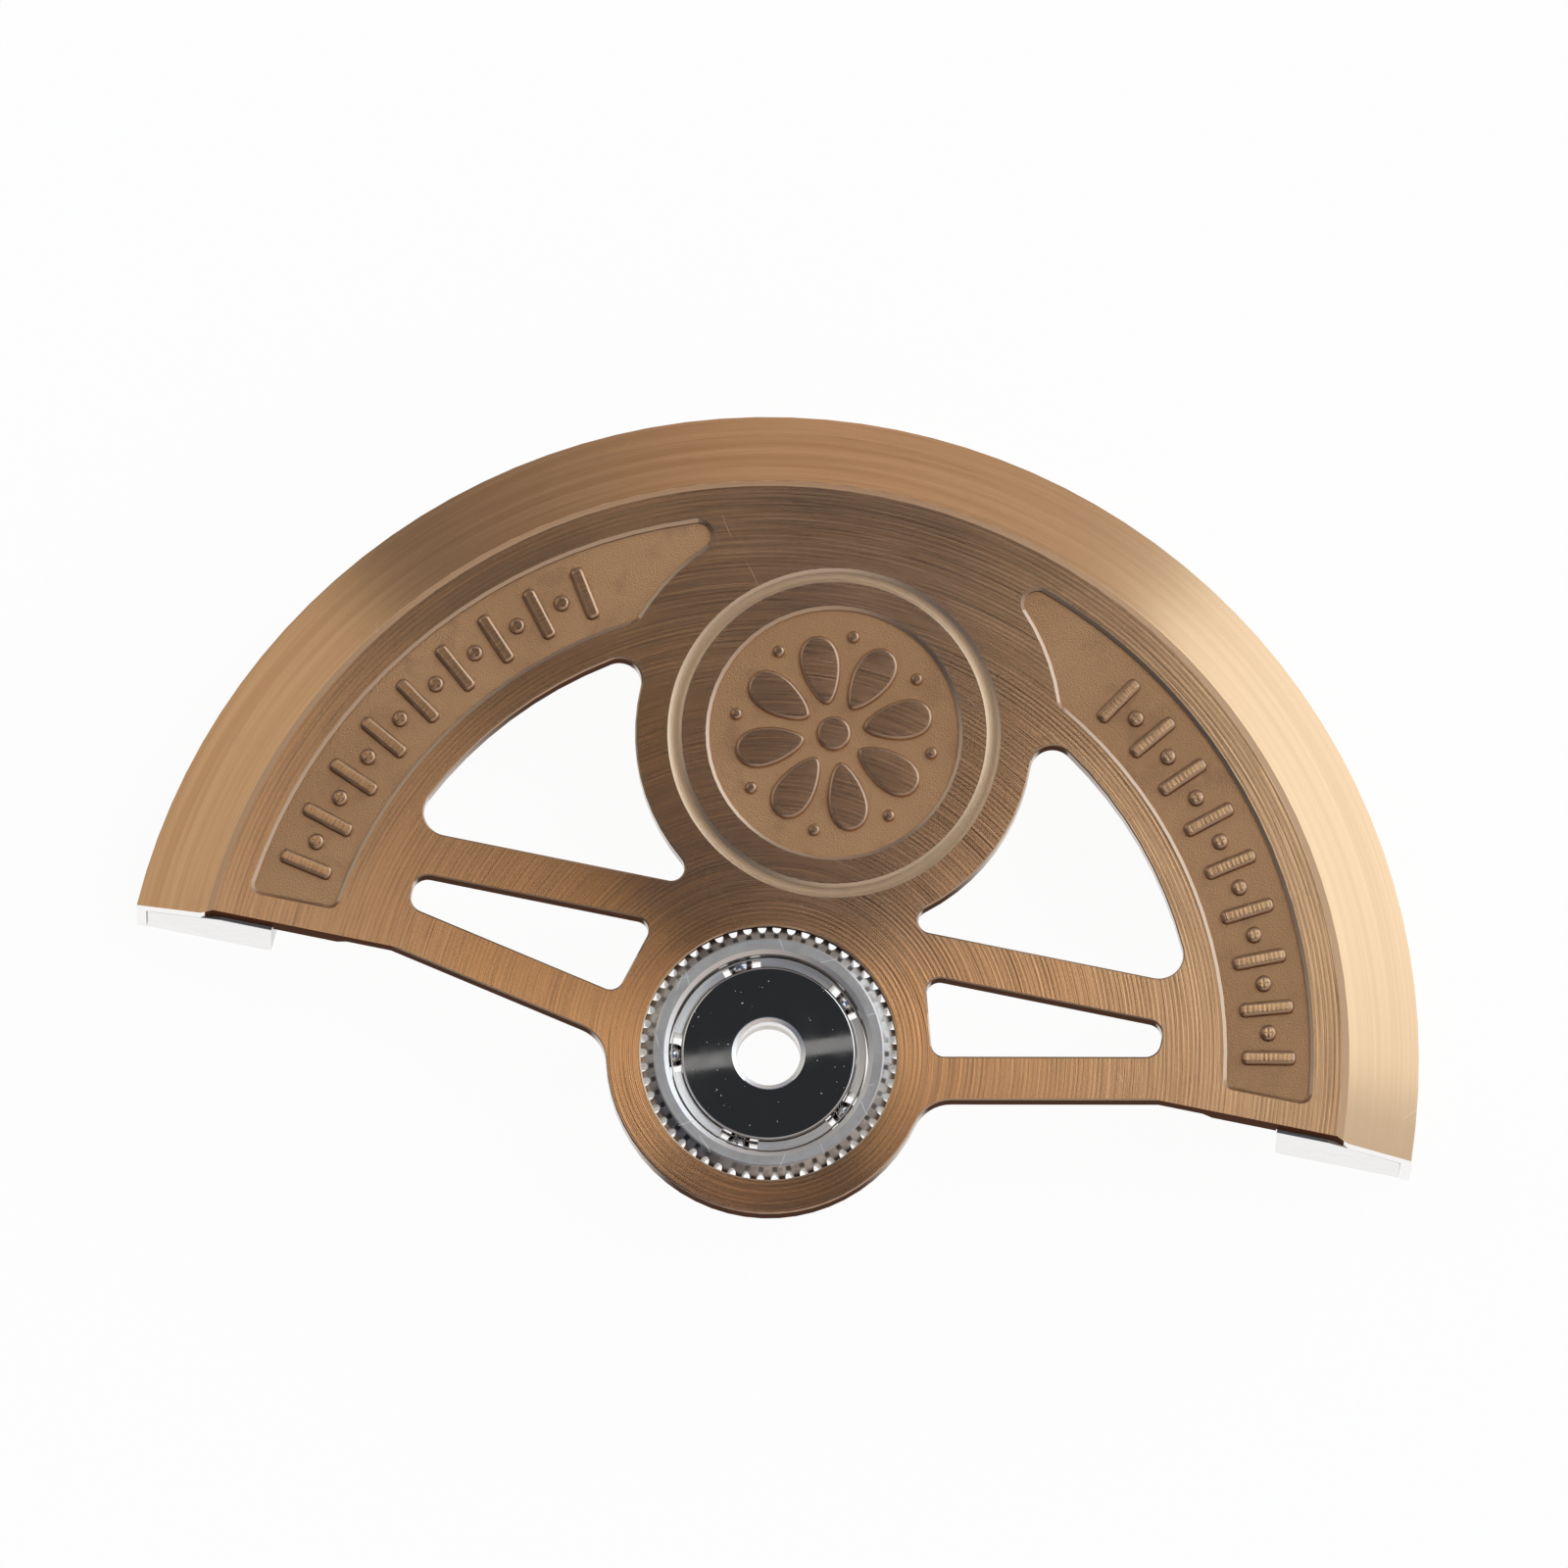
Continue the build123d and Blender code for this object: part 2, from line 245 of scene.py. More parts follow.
# The turned face: redder near the hub, coarser towards +X and painted paler there as painted light from the right,
# darker above and below the hub
outwards = gilt.radius.step(6.0e-3, 10.5e-3)
near_hub = 1.0 - gilt.radius.step(3.2e-3, 5.5e-3)
coarse_side = (gilt.x * 0.9 + gilt.y * 0.25).step(-3.5e-3, 3.5e-3)
# Darker above and below the hub, redder below it and browner above it
darker_above_below_hub = (1.0 - gilt.x.math("ABSOLUTE").step(0.8e-3, 5.6e-3)) * gilt.y.math("ABSOLUTE").step(1.7e-3, 3.4e-3)
above_below_hub_colour = gilt.blend(gilt.y > 0.0, (0.36, 0.165, 0.09, 1), (0.31, 0.19, 0.13, 1))
# Painted light: the face, the band and the rim's step are painted paler towards +X, where the key light falls
painted_key_light = (gilt.x * 0.94 + gilt.y * 0.34).step(3.0e-3, 12.0e-3)
ring_lines = rings.step(0.40, 0.62) * (0.24 - coarse_side * 0.13 + near_hub * 0.26)
grooves = (ring_lines + turning.step(-0.7, 0.9) * patchy * 0.44) * (0.6 + coarse_side * 0.4)
face_colour = gilt.blend(outwards, (0.67, 0.32, 0.13, 1), (0.65, 0.35, 0.17, 1))
face_colour = gilt.blend(painted_key_light, face_colour, (0.67, 0.40, 0.21, 1))
face_colour = gilt.blend(tone.step(0.35, 0.7) * 0.4, face_colour, (0.58, 0.32, 0.165, 1))
face_colour = gilt.blend(darker_above_below_hub * 0.68, face_colour, above_below_hub_colour)
face_colour = gilt.blend(grooves, face_colour, (0.34, 0.19, 0.105, 1))

# The blasted floors, the brushed band with its darker end, and the bevels
floor_colour = gilt.blend(tone.step(0.3, 0.7), (0.57, 0.318, 0.160, 1), (0.645, 0.368, 0.191, 1))
floor_colour = gilt.blend(stains.step(0.50, 0.72) * 0.6, floor_colour, (0.45, 0.25, 0.132, 1))
near_end = (1.0 - gilt.y.step(1.0e-3, 2.6e-3)) * (gilt.x > 0.0)
band_colour = gilt.blend(streaks.step(0.3, 0.7), (0.67, 0.395, 0.203, 1), (0.79, 0.485, 0.265, 1))
band_colour = gilt.blend(stains.step(0.55, 0.8) * 0.35, band_colour, (0.56, 0.34, 0.19, 1))
band_colour = gilt.blend(painted_key_light * 0.75, band_colour, (0.76, 0.54, 0.33, 1))
band_colour = gilt.blend(band_lines.step(0.38, 0.62) * 0.16, band_colour, (0.50, 0.31, 0.17, 1))
band_colour = gilt.blend(near_end * 0.75, band_colour, (0.50, 0.345, 0.21, 1))
rim_step = gilt.blend(painted_key_light, (0.36, 0.22, 0.12, 1), (0.50, 0.33, 0.20, 1))
bevel_colour = gilt.blend(gilt.radius > step_r, (0.62, 0.46, 0.33, 1), rim_step)
groove_colour = gilt.blend(level, (0.86, 0.69, 0.52, 1), (0.70, 0.465, 0.285, 1))
colour = gilt.blend(on_floor, face_colour, floor_colour)
colour = gilt.blend((1.0 - level) * (1.0 - on_band), colour, bevel_colour)
colour = gilt.blend(on_band, colour, band_colour)
colour = gilt.blend(in_groove, colour, groove_colour)
# Painted highlight: the lip's end face, which faces -Y, is painted near white
colour = gilt.blend(lip_end, colour, (0.95, 0.92, 0.89, 1))
colour = gilt.blend(wear * 0.22, colour, (0.92, 0.76, 0.60, 1))

face_relief = fine_rings * 0.71e-5 + rings * (0.08 + coarse_side * 0.92) * 0.26e-5
face_relief = face_relief + turning * patchy * (0.30 + coarse_side * 0.70) * 1.5e-6
band_relief = (brushing + streaks) * 3.5e-6
floor_relief = blasting * (1.0 - in_groove * 0.8) * 1.2e-5
on_face = level * (1.0 - on_floor) * (1.0 - on_band)
all_relief = face_relief * on_face + band_relief * on_band + floor_relief * on_floor + hollow * 2.0e-5

# Broken edges round the fields and the groove all have one height part, so that they shine evenly
on_edge = (nz > 0.3) * (nz < 0.975) * (gilt.radius < step_r)
off_scale = (gilt.radius - scale_r).math("ABSOLUTE") > scale_half
edge_rise = (edge_height_part - nz) * on_edge
about_hub, hub_normal = gilt.turned_normal(0.0, nz + edge_rise * off_scale)
off_rosette = from_medallion > rosette_reach
about_medallion, medallion_normal = gilt.turned_normal(medallion_y, nz + edge_rise * off_rosette)
near_medallion = from_medallion < medallion_reach
shape = gilt.blend(about_hub * (1.0 - near_medallion), gilt.add("NewGeometry", out=1), hub_normal, "VECTOR")
shape = gilt.blend(about_medallion * near_medallion, shape, medallion_normal, "VECTOR")
normal = gilt.relief(all_relief, Normal=shape)
rough = 0.19 + on_floor * (0.29 - in_groove * 0.09) + on_band * 0.02 + on_edge * 0.16
turned_part = gilt.metal(Base_Color=colour, Roughness=rough, Normal=normal)

# Upright walls are dull and painted dark as painted shade, but for those that look along the struts, and the rim's
# outside
dark_wall_shade = gilt.metal(Base_Color=(0.13, 0.085, 0.058, 1), Roughness=0.42, Normal=shape,
                      Specular_Tint=(0.28, 0.21, 0.16, 1))
sideways = (nx * math.cos(strut_way) + ny * math.sin(strut_way)).math("ABSOLUTE").step(0.55, 0.9)
inside_skin = 1.0 - gilt.radius.step(skin_r - 0.02e-3, skin_r + 0.02e-3)
wall_shade_share = upright * (1.0 - lip_end) * inside_skin * (from_medallion > groove_reach) * (1.0 - sideways * 0.85)
gilt.show(gilt.add("MixShader", values={0: wall_shade_share, 1: turned_part, 2: dark_wall_shade}))
dress(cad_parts["rotor_plate"], gilt.material)


# Raised marks
# A plain scale of batons and dots stands in each side field, and a rosette of eight petals in the
# round one. They are what is left when the fields are sunk, so their tops are flush with the face.

def closed_mesh(name, points, faces):
    """A mesh piece at the origin from arrays of points and faces, which keep the way they turn."""
    mesh = bpy.data.meshes.new(name)
    mesh.from_pydata(points.reshape(-1, 3).tolist(), [], faces)
    mesh.validate()
    mesh.update()
    piece = bpy.data.objects.new(name, mesh)
    bpy.context.scene.collection.objects.link(piece)
    return piece


def smooth_by_angle(piece, degrees=4.5):
    """Smooth shading, with sharp edges where faces meet at more than this angle."""
    piece.data.shade_smooth()
    piece.data.set_sharp_from_angle(angle=math.radians(degrees))


def raised(name, outlines, foot, top, bevel):
    """Flat-topped pads with a rounded edge. Each outline rises from foot to top as the sine of an
    angle while it draws in by bevel as one less its cosine, and fans to its middle close the ends.
    outlines has one row of points in plan for each pad."""
    ahead, behind = np.roll(outlines, -1, 1), np.roll(outlines, 1, 1)
    run = ahead - behind
    inward = np.stack([-run[..., 1], run[..., 0]], -1)
    inward /= np.linalg.norm(inward, axis=-1, keepdims=True)
    t = np.radians([0, 15, 30, 45, 58, 69, 78, 85, 90])
    steps = np.stack([bevel * (1 - np.cos(t)), foot + (top - foot) * np.sin(t)], -1)
    ring = outlines[:, None] + inward[:, None] * steps[None, :, 0, None, None]
    height = np.broadcast_to(steps[None, :, 1, None, None], ring.shape[:3] + (1,))
    walls = np.concatenate([ring, height], -1)
    pads, rows, around = walls.shape[:3]
    middle = outlines.mean(1)
    ends = np.stack([np.c_[middle, np.full(pads, foot)], np.c_[middle, np.full(pads, top)]], 1)
    points = np.concatenate([walls.reshape(pads, -1, 3), ends], 1)
    start = np.arange(pads)[:, None] * (rows * around + 2)
    here, there = np.arange(around), np.roll(np.arange(around), -1)
    faces = []
    for row in range(rows - 1):
        low, high = row * around, (row + 1) * around
        quad = np.stack([low + here, low + there, high + there, high + here], -1)
        faces += (start[..., None] + quad[None]).reshape(-1, 4).tolist()
    last = (rows - 1) * around
    under = np.stack([there, here, np.full(around, rows * around)], -1)
    over = np.stack([last + here, last + there, np.full(around, rows * around + 1)], -1)
    for fan in (under, over):
        faces += (start[..., None] + fan[None]).reshape(-1, 3).tolist()
    piece = closed_mesh(name, points, faces)
    smooth_by_angle(piece, 25)
    return piece


def baton(length, width, corner, count=10):
    """A rectangle with rounded corners, its long side along X: four quarter circles joined by lines."""
    turn = np.linspace(0, math.pi / 2, count)
    arc = np.stack([np.cos(turn), np.sin(turn)], -1) * corner
    sides = []
    for quarter, (sx, sy) in enumerate([(1, 1), (-1, 1), (-1, -1), (1, -1)]):
        a = quarter * math.pi / 2
        bend = arc @ np.array([[math.cos(a), math.sin(a)], [-math.sin(a), math.cos(a)]])
        sides.append(bend + [sx * (length / 2 - corner), sy * (width / 2 - corner)])
    return np.concatenate(sides)


def around_hub(outline, radius, degrees):
    """The outline, moved out along X by radius, and turned to each of these angles from +X."""
    a = np.radians(degrees)[:, None]
    x, y = outline[None, :, 0] + radius, outline[None, :, 1]
    return np.stack([x * np.cos(a) - y * np.sin(a), x * np.sin(a) + y * np.cos(a)], -1)


mark_foot, mark_top, mark_bevel = sunk_floor - 5e-6, face_height, 0.085e-3
scale_from, scale_to, scale_count = 11.0, 57.0, 9
long_at = np.linspace(scale_from, scale_to, scale_count)
dots_at = (long_at[1:] + long_at[:-1]) / 2
baton_length, baton_width, baton_corner = 1.12e-3, 0.30e-3, 0.12e-3
dot_width, dot_corner = 0.34e-3, 0.1699e-3
bars = around_hub(baton(baton_length, baton_width, baton_corner), scale_r, long_at)
dots = around_hub(baton(dot_width, dot_width, dot_corner), scale_r, dots_at)
pads = np.concatenate([bars, dots])
for side, plan in (("right", pads), ("left", pads[:, ::-1] * [-1, 1])):
    scale_marks = raised("scale_" + side, plan, mark_foot, mark_top, mark_bevel)
    dress(scale_marks, gilt.material)
    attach(scale_marks, "rotor")

petal_half_length, petal_half_width, petal_fullness = 0.72e-3, 0.40e-3, 0.30
petal_at, bud_at, bud_r, heart_r = 1.32e-3, 2.02e-3, 0.13e-3, 0.36e-3
u = np.linspace(0, 2 * math.pi, 64, endpoint=False)
petal_side = petal_half_width * np.sin(u) * (1 + petal_fullness * np.cos(u))
petal = np.stack([petal_half_length * np.cos(u), petal_side], -1)
circle = np.stack([np.cos(u), np.sin(u)], -1)
eighths = np.arange(8) * 45.0
petals = around_hub(petal, petal_at, eighths + 22.5)
buds = around_hub(circle * bud_r, bud_at, eighths)
heart = around_hub(circle * heart_r, 0.0, np.zeros(1))
flower = np.concatenate([petals, buds, heart]) + [0, medallion_y]
rosette = raised("rosette", flower, mark_foot, mark_top, mark_bevel)
dress(rosette, gilt.material)
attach(rosette, "rotor")


# Heavy segment
# The dense half ring brazed under the rim, of sintered tungsten alloy. It is ground bare on its ends
# and underside, and isn't plated. Its ends are painted near white as a painted highlight.

alloy = Finish("segment_alloy")
grain = alloy.noise(alloy.place, 9000.0, 4.0, 0.6)
stain = alloy.noise(alloy.place, 420.0, 3.0)
alloy_colour = alloy.blend(stain.step(0.35, 0.7), (0.80, 0.785, 0.77, 1), (0.70, 0.68, 0.66, 1))
alloy_colour = alloy.blend(grain.step(0.62, 0.72) * 0.4, alloy_colour, (0.45, 0.43, 0.42, 1))
lines = alloy.drawn_out(9000.0, 300.0)
about_hub, hub_normal = alloy.turned_normal()
shape = alloy.blend(about_hub, alloy.add("NewGeometry", out=1), hub_normal, "VECTOR")
normal = alloy.relief(lines * 4e-6 + grain * 3e-6, Normal=shape)
# The ends that face -Y are ground, and painted near white as a painted highlight
ground_highlit_end = alloy.split(alloy.facing())[1] < -0.9
end_lines = alloy.noise(alloy.join(alloy.x * 3000.0, alloy.y * 3000.0, alloy.z * 26000.0), 1.0, 3.0, 0.6)
ground_and_highlight_colour = alloy.blend(end_lines.step(0.3, 0.7), (0.94, 0.93, 0.925, 1), (0.84, 0.825, 0.815, 1))
alloy_colour = alloy.blend(ground_highlit_end, alloy_colour, ground_and_highlight_colour)
rough = (0.34 + stain * 0.15) * (1.0 - ground_highlit_end * 0.4)
alloy.show(alloy.metal(Base_Color=alloy_colour, Roughness=rough, Normal=normal))
dress(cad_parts["heavy_segment"], alloy.material)


# Outer race and gear
# One ring of hardened steel. Two cones inside carry the balls, the flat top is ground, and the 54
# teeth outside have a long bevel. The plate's hole is pressed on their tips, and the gaps stay open.

def ring_faces(rows, columns):
    """Quads of a grid that closes both along its rows and its columns. They face outwards where the
    rows are sections of a ring that run up on its inner side and down on its outer side."""
    r, c = np.meshgrid(np.arange(rows), np.arange(columns), indexing="ij")
    up, on = (r + 1) % rows, (c + 1) % columns
    return np.stack([r * columns + c, r * columns + on, up * columns + on, up * columns + c], -1).reshape(-1, 4)


def eased(profile, radius, steps=3):
    """A closed profile whose corners are replaced by short quadratic curves, at most radius long
    each side."""
    ends = []
    for other in (np.roll(profile, 1, 0), np.roll(profile, -1, 0)):
        length = np.linalg.norm(other - profile, axis=1, keepdims=True)
        ends.append(profile + (other - profile) / length * np.minimum(radius, 0.4 * length))
    t = np.linspace(0, 1, steps + 1)[None, :, None]
    curve = (1 - t) ** 2 * ends[0][:, None] + 2 * t * (1 - t) * profile[:, None] + t**2 * ends[1][:, None]
    return curve.reshape(-1, 2)


race_bottom, race_top, race_lip_r, pitch_r, ball_height = 0.07e-3, 1.20e-3, 2.025e-3, 1.94e-3, 0.55e-3
tip_r, low_root_r = 2.60e-3, 2.35e-3
bevel_r, bevel_z = 2.33e-3, 1.02e-3
raceway_r, cone_half, lip_half = 2.202e-3, 0.1085e-3, 0.2855e-3
inside = np.array([(race_lip_r, race_bottom), (race_lip_r, ball_height - lip_half),
                   (raceway_r, ball_height - cone_half), (raceway_r, ball_height + cone_half),
                   (race_lip_r, ball_height + lip_half), (race_lip_r, 1.11e-3),
                   (2.032e-3, 1.138e-3), (2.110e-3, 1.192e-3), (2.126e-3, race_top)])
bevel_start = np.array([(bevel_r - 0.02e-3, race_top), (bevel_r, race_top - 0.004e-3)])
meet_r, meet_z = 2.4665e-3, 1.109e-3
tooth = np.concatenate([inside, bevel_start, [(meet_r, meet_z), (tip_r - 0.01e-3, bevel_z + 0.007e-3),
                                              (tip_r, bevel_z - 0.01e-3), (tip_r, race_bottom),
                                              (low_root_r, race_bottom)]])
gap = np.concatenate([inside, bevel_start, [(meet_r, meet_z), (meet_r, meet_z),
                                            (meet_r - 0.001e-3, meet_z - 0.01e-3),
                                            (low_root_r, race_bottom), (low_root_r, race_bottom)]])
teeth, first_gap = 54, math.radians(4.4)
centre = first_gap + 2 * math.pi / teeth * np.arange(teeth)[:, None]
gap_half, tooth_edge, tooth_middle, fullness = 0.0345, 0.0385, 0.054, 2.3
across = -np.cos(np.linspace(0, math.pi, 9))
depth = (1 - np.abs(across) ** fullness) ** (1 / fullness)
angles = np.append(across * gap_half, [tooth_edge, tooth_middle])[None] + centre
a = angles.reshape(-1, 1)
section = tooth + np.tile(np.append(depth, [0, 0]), teeth)[:, None, None] * (gap - tooth)
race_points = np.stack([section[..., 0] * np.cos(a), section[..., 0] * np.sin(a), section[..., 1]], -1)
gear = closed_mesh("outer_race", race_points, ring_faces(*race_points.shape[:2]).tolist())
smooth_by_angle(gear)

steel = Finish("race_steel")
fine = steel.drawn_out(30000.0, 600.0, 2.0, 0.6)
smear = steel.noise(steel.place, 1500.0, 4.0, 0.6)
steel_colour = steel.blend(smear.step(0.35, 0.7), (0.70, 0.655, 0.615, 1), (0.55, 0.51, 0.475, 1))
about = steel.y.math("ARCTAN2", steel.x)
over_gap = ((about - first_gap) * float(teeth)).math("COSINE").step(0.0, 0.8)
uneven = steel.noise(steel.place, 700.0, 1.0).step(0.3, 0.6)
on_roots = steel.radius.step(bevel_r, 2.365e-3) * (1.0 - steel.radius.step(2.42e-3, 2.465e-3))
# Painted shade: dark spots in the roots of the tooth gaps, under the bevel
painted_root_shade = over_gap * on_roots * (steel.z > 1.0e-3) * uneven
oil = steel.noise(steel.place, 4200.0, 3.0, 0.6).step(0.42, 0.60) * steel.radius.step(bevel_r, 2.36e-3)
on_bevel = steel.radius.step(bevel_r, 2.35e-3)
steel_colour = steel.blend(on_bevel * 0.35, steel_colour, (0.34, 0.32, 0.29, 1))
steel_colour = steel.blend(oil * 0.55, steel_colour, (0.20, 0.17, 0.15, 1))
steel_colour = steel.blend(painted_root_shade * 0.9, steel_colour, (0.05, 0.045, 0.04, 1))
wander = steel.noise(steel.place, 500.0, 2.0) * 0.0007
scratches = steel.scratches(((37.0, 0.0011), (112.0, 0.0014), (164.0, 0.0017)), wander, 0.47)
scratches = scratches * (steel.z > 1.17e-3)
steel_colour = steel.blend(scratches * 0.8, steel_colour, (0.93, 0.93, 0.93, 1))
slope = steel.split(steel.facing())[2]
# Painted highlight: the lip's inner chamfer is painted near white
chamfer = (steel.radius < 2.12e-3) * slope.step(0.5, 0.6) * (1.0 - slope.step(0.93, 0.97))
steel_colour = steel.blend(chamfer, steel_colour, (0.88, 0.86, 0.84, 1))
rough = 0.24 + smear * 0.2 + scratches * 0.35 + chamfer * 0.12
steel.show(steel.metal(Base_Color=steel_colour, Roughness=rough, Normal=steel.relief(fine * 1.5e-6)))
dress(gear, steel.material)
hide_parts("outer_race_gear")
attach(gear, "rotor")


# Inner race
# Two halves of hardened steel that meet at the balls' level, clamped by the screw. The upper one
# is lapped to a black mirror, and the chamfer at the edge of its bore is painted near white, a painted highlight.

def turned(name, profile, columns=192):
    """A closed profile carried round the Z axis. Known fault: both profiles below run up on their
    outer side, so the faces of these two pieces point inwards."""
    a = np.linspace(0, 2 * math.pi, columns, endpoint=False)[:, None]
    points = np.stack([profile[:, 0] * np.cos(a), profile[:, 0] * np.sin(a), profile[:, 1] + 0 * a], -1)
    piece = closed_mesh(name, points, ring_faces(columns, len(profile)).tolist())
    smooth_by_angle(piece)
    return piece


bore_r, race_r, groove_r, rim_half = 0.65e-3, 1.78e-3, 1.678e-3, 0.2105e-3
disc_top, seat_bevel, edge_break = 1.10e-3, 0.05e-3, 0.012e-3
upper = np.array([(bore_r, ball_height), (groove_r, ball_height), (groove_r, ball_height + cone_half),
                  (race_r, ball_height + rim_half), (race_r, disc_top - 0.04e-3), (race_r - 0.04e-3, disc_top),
                  (bore_r + 0.085e-3, disc_top), (bore_r, disc_top - 0.045e-3)])
lower = np.array([(bore_r, 0.0), (race_r - seat_bevel, 0.0), (race_r, seat_bevel),
                  (race_r, ball_height - rim_half), (groove_r, ball_height - cone_half),
                  (groove_r, ball_height), (bore_r, ball_height)])
mirror = Finish("polished_steel")
haze = mirror.noise(mirror.place, 1300.0, 3.0)
speck = mirror.noise(mirror.place, 14000.0, 1.0).step(0.76, 0.8)
mirror_colour = mirror.blend(speck * 0.7, (0.76, 0.74, 0.72, 1), (0.9, 0.9, 0.9, 1))
# Painted highlight: the bore's chamfer is painted near white
bore_edge = mirror.radius < bore_r + 0.082e-3
mirror_colour = mirror.blend(bore_edge, mirror_colour, (0.97, 0.965, 0.96, 1))
rough = 0.008 + haze.step(0.3, 0.8) * 0.012 + speck * 0.4 + bore_edge * 0.4
mirror.show(mirror.metal(Base_Color=mirror_colour, Roughness=rough))
disc = turned("inner_race_disc", eased(upper, edge_break))
dress(disc, mirror.material)
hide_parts("inner_race_upper")
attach(disc, "inner_race")
seat = turned("inner_race_seat", eased(lower, edge_break))
dress(seat, steel.material)
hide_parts("inner_race_lower")
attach(seat, "inner_race")


# Ball cage
# A crown ring stamped from bright steel strip. Its five pockets are open to both sides but for a thin
# bridge outside, and it turns between the races at a little over half the rotor's speed.

def crown(inner, outer, bottom, top, bridge, bridge_bottom, first, half_pocket, pockets=5):
    """A ring whose section is a rectangle with eased upper edges between the pockets, and a thin
    strip along the outside over each pocket. Both sections have as many points, so that the ring is
    one closed grid, with two rows at the same angle where they meet."""
    ease = edge_break
    bar = np.array([(inner, bottom), (inner, top - ease), (inner + ease, top),
                    (outer - ease, top), (outer, top - ease), (outer, bottom)])
    strip = np.array([(outer - bridge, bridge_bottom), (outer - bridge, top - ease),
                      (outer - bridge + ease / 3, top), (outer - ease, top),
                      (outer, top - ease), (outer, bridge_bottom)])
    angles, sections = [], []
    step = 2 * math.pi / pockets
    for k in range(pockets):
        start = first + k * step
        for section, low, high, count in ((strip, -half_pocket, half_pocket, 8),
                                          (bar, half_pocket, step - half_pocket, 28)):
            for angle in np.linspace(low, high, count):
                angles.append(start + angle)
                sections.append(section)
    a, section = np.array(angles)[:, None], np.stack(sections)
    return np.stack([section[..., 0] * np.cos(a), section[..., 0] * np.sin(a), section[..., 1]], -1)


cage_inner, cage_outer, cage_bottom, cage_top = 1.787e-3, 1.982e-3, 0.25e-3, 0.97e-3
bridge_width, bridge_bottom = 0.028e-3, 0.83e-3
first_ball, half_pocket = math.radians(118.4), math.radians(12.2)
cage_points = crown(cage_inner, cage_outer, cage_bottom, cage_top, bridge_width, bridge_bottom,
                    first_ball, half_pocket)
ball_cage = closed_mesh("cage_crown", cage_points, ring_faces(*cage_points.shape[:2]).tolist())
smooth_by_angle(ball_cage)
cage = Finish("cage_steel")
rolled = cage.drawn_out(26000.0, 900.0)
cage_colour = cage.blend(rolled.step(0.35, 0.65), (0.70, 0.66, 0.62, 1), (0.82, 0.78, 0.735, 1))
dished = cage.relief(rolled * 4.0e-6 + cage.radius * 0.18)
cage.show(cage.metal(Base_Color=cage_colour, Roughness=0.38, Normal=dished))
dress(ball_cage, cage.material)
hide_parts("ball_cage")
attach(ball_cage, "cage")


# Balls
# Five lapped balls of hardened steel, 0.5 mm across, which roll between the races.

def ball_mesh(name, centre, radius, around=48, rows=23):
    """A sphere: height angle by turn, with one point at each pole."""
    tilt = np.linspace(-math.pi / 2, math.pi / 2, rows + 2)[1:-1, None]
    turn = np.linspace(0, 2 * math.pi, around, endpoint=False)[None]
    skin = np.stack([np.cos(tilt) * np.cos(turn), np.cos(tilt) * np.sin(turn), np.sin(tilt) + 0 * turn], -1)
    points = np.concatenate([skin.reshape(-1, 3), [(0, 0, -1), (0, 0, 1)]]) * radius + centre
    here, there = np.arange(around), np.roll(np.arange(around), -1)
    row = np.arange(rows - 1)[:, None] * around
    quads = np.stack([row + here, row + there, row + around + there, row + around + here], -1).reshape(-1, 4)
    low = np.stack([there, here, np.full(around, rows * around)], -1)
    last = (rows - 1) * around
    high = np.stack([last + here, last + there, np.full(around, rows * around + 1)], -1)
    piece = closed_mesh(name, points, quads.tolist() + low.tolist() + high.tolist())
    piece.data.shade_smooth()
    return piece


ball_r = 0.25e-3
lapped = Finish("ball_steel")
film = lapped.noise(lapped.place, 5000.0, 3.0)
ball_colour = lapped.blend(film.step(0.4, 0.7), (0.78, 0.78, 0.80, 1), (0.68, 0.68, 0.70, 1))
lapped.show(lapped.metal(Base_Color=ball_colour, Roughness=0.05 + film * 0.06))
for number, letter in enumerate("abcde"):
    a = first_ball + number * 2 * math.pi / 5
    spot = (pitch_r * math.cos(a), pitch_r * math.sin(a), ball_height)
    ball = ball_mesh("ball_" + letter, spot, ball_r)
    dress(ball, lapped.material)
    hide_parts("ball_%d" % (number + 1))
    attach(ball, "ball_" + letter)


# Floor
# A wide white table on which the rotor lies, rim down. It shows white, and keeps a faint shadow.

floor_z, table_half = cad_box[0][2], 1.5
table = np.array([(x * table_half, y * table_half, floor_z) for x, y in ((-1, -1), (1, -1), (1, 1), (-1, 1))])
floor = closed_mesh("floor", table, [(0, 1, 2, 3)])
table_material = bpy.data.materials.new("white_table")
table_material.use_nodes = True
table_nodes = Nodes(table_material.node_tree)
rays = table_nodes.add("LightPath")
glossy = Wire(table_nodes, rays.socket.node.outputs["Is Glossy Ray"])
through = Wire(table_nodes, rays.socket.node.outputs["Is Transmission Ray"])
seen = rays.math("MAXIMUM", glossy).math("MAXIMUM", through)
paper = table_nodes.add("BsdfDiffuse", values={"Color": (0.8, 0.8, 0.8, 1)})
glow = table_nodes.add("Emission", values={"Color": (1, 1, 1, 1), "Strength": 1.05})
table_top = table_nodes.add("MixShader", values={0: seen * 0.9, 1: paper, 2: glow})
table_nodes.add("OutputMaterial", values={0: table_top})
dress(floor, table_material)


# Studio
# Soft light from all round: a large bright panel on the right, a weaker one on the left, dim light
# behind and in front, a dark lens, and one slim lamp whose reflection crosses the lapped race.

